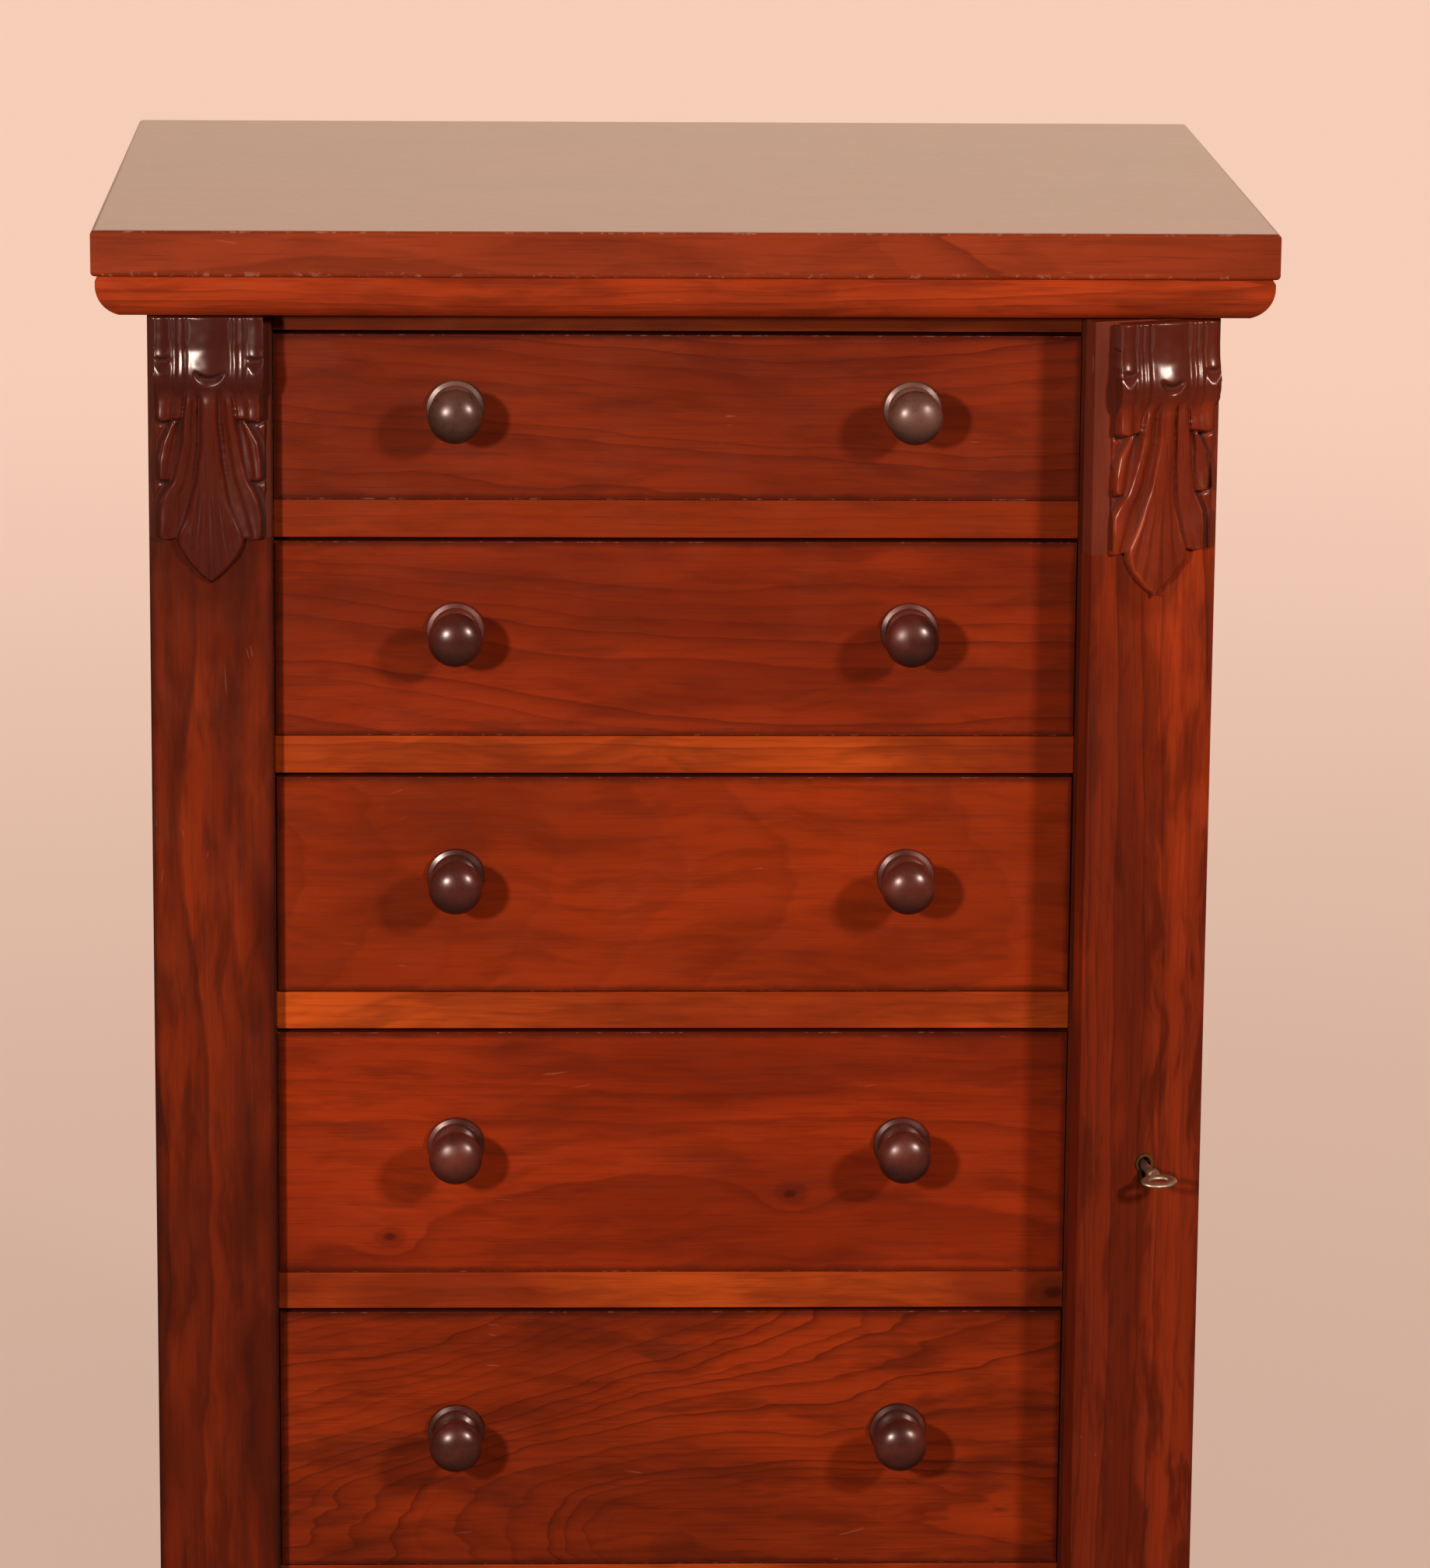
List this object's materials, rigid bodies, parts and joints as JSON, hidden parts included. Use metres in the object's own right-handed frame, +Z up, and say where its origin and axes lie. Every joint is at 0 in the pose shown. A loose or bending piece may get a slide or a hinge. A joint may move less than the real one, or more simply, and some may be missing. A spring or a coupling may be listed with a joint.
{
  "type": "wellington chest",
  "caption": "Tall narrow wooden chest of drawers with turned ball knobs, carved corbels, a moulded top and a pivoted stile that laps and locks the drawers.",
  "frame": {"origin": "on the floor, under the middle of the whole chest's width and depth, knobs and key included", "axes": "+Z up, +X to the right as seen from the front, +Y to the back; the drawers open towards -Y"},
  "size_m": [0.61, 0.4772, 1.019],
  "materials": {
    "mahogany_top": "waxed, softly worn",
    "mahogany_moulding": "waxed",
    "mahogany_rail": "waxed",
    "mahogany_carcase": "waxed",
    "mahogany_stile": "waxed",
    "mahogany_carving": "glossy polish",
    "mahogany_drawer": "waxed, figured",
    "turned_knob": "satin polish",
    "drawer_lining": "plain",
    "pine_inside": "plain",
    "pine_back": "plain, darkened",
    "brass_old": "dulled",
    "lock_steel": "plain"
  },
  "bodies": {
    "carcase": {"top_board": "mahogany_top", "top_moulding": "mahogany_moulding", "top_rails": "pine_inside", "left_side": "mahogany_carcase", "right_side": "mahogany_carcase", "back_boards": "pine_back", "bottom_board": "pine_inside", "drawer_rails": "mahogany_rail", "left_frame_stile": "pine_inside", "right_frame_stile": "mahogany_rail", "left_pilaster": "mahogany_stile", "left_corbel": "mahogany_carving", "drawer_runners": "pine_inside", "drawer_guides": "pine_inside", "drawer_stops": "pine_inside", "plinth_front": "mahogany_carcase", "plinth_sides": "mahogany_carcase", "plinth_back": "pine_back", "base_frame": "pine_inside", "pivot_sockets": "brass_old", "link_plate": "lock_steel"},
    "drawer_1": {"drawer_1_front": "mahogany_drawer", "drawer_1_sides": "drawer_lining", "drawer_1_back": "drawer_lining", "drawer_1_bottom": "drawer_lining", "drawer_1_knobs": "turned_knob"},
    "drawer_2": {"drawer_2_front": "mahogany_drawer", "drawer_2_sides": "drawer_lining", "drawer_2_back": "drawer_lining", "drawer_2_bottom": "drawer_lining", "drawer_2_knobs": "turned_knob"},
    "drawer_3": {"drawer_3_front": "mahogany_drawer", "drawer_3_sides": "drawer_lining", "drawer_3_back": "drawer_lining", "drawer_3_bottom": "drawer_lining", "drawer_3_knobs": "turned_knob"},
    "drawer_4": {"drawer_4_front": "mahogany_drawer", "drawer_4_sides": "drawer_lining", "drawer_4_back": "drawer_lining", "drawer_4_bottom": "drawer_lining", "drawer_4_knobs": "turned_knob"},
    "drawer_5": {"drawer_5_front": "mahogany_drawer", "drawer_5_sides": "drawer_lining", "drawer_5_back": "drawer_lining", "drawer_5_bottom": "drawer_lining", "drawer_5_knobs": "turned_knob"},
    "drawer_6": {"drawer_6_front": "mahogany_drawer", "drawer_6_sides": "drawer_lining", "drawer_6_back": "drawer_lining", "drawer_6_bottom": "drawer_lining", "drawer_6_knobs": "turned_knob"},
    "swinging_stile": {"locking_stile": "mahogany_stile", "stile_backing": "mahogany_stile", "right_corbel": "mahogany_carving", "stile_pivots": "brass_old", "lock_case": "lock_steel", "lock_cap": "lock_steel", "escutcheon": "brass_old"},
    "sliding_bolt": {"lock_bolt": "lock_steel"},
    "turning_key": {"key": "brass_old"}
  },
  "joints": [
    {"name": "drawer_1_slide", "type": "slide", "parent": "carcase", "child": "drawer_1", "axis": [0, -1, 0], "range_m": [0, 0.33]},
    {"name": "drawer_2_slide", "type": "slide", "parent": "carcase", "child": "drawer_2", "axis": [0, -1, 0], "range_m": [0, 0.33]},
    {"name": "drawer_3_slide", "type": "slide", "parent": "carcase", "child": "drawer_3", "axis": [0, -1, 0], "range_m": [0, 0.33]},
    {"name": "drawer_4_slide", "type": "slide", "parent": "carcase", "child": "drawer_4", "axis": [0, -1, 0], "range_m": [0, 0.33]},
    {"name": "drawer_5_slide", "type": "slide", "parent": "carcase", "child": "drawer_5", "axis": [0, -1, 0], "range_m": [0, 0.33]},
    {"name": "drawer_6_slide", "type": "slide", "parent": "carcase", "child": "drawer_6", "axis": [0, -1, 0], "range_m": [0, 0.33]},
    {"name": "stile_swing", "type": "hinge", "parent": "carcase", "child": "swinging_stile", "pos_m": [0.2683, -0.19541, 0.519], "axis": [0, 0, 1], "range_deg": [-20, 88]},
    {"name": "key_turn", "type": "hinge", "parent": "swinging_stile", "child": "turning_key", "pos_m": [0.24547, -0.20872, 0.519], "axis": [-0.3345, 0.9192, 0.2079], "range_deg": [0, 180]},
    {"name": "bolt_slide", "type": "slide", "parent": "swinging_stile", "child": "sliding_bolt", "axis": [0, 0, 1], "range_m": [0, 0.006]}
  ],
  "couplings": [
    {"joint": "bolt_slide", "follows": "key_turn", "m_per_rad": 0.0019099}
  ]
}
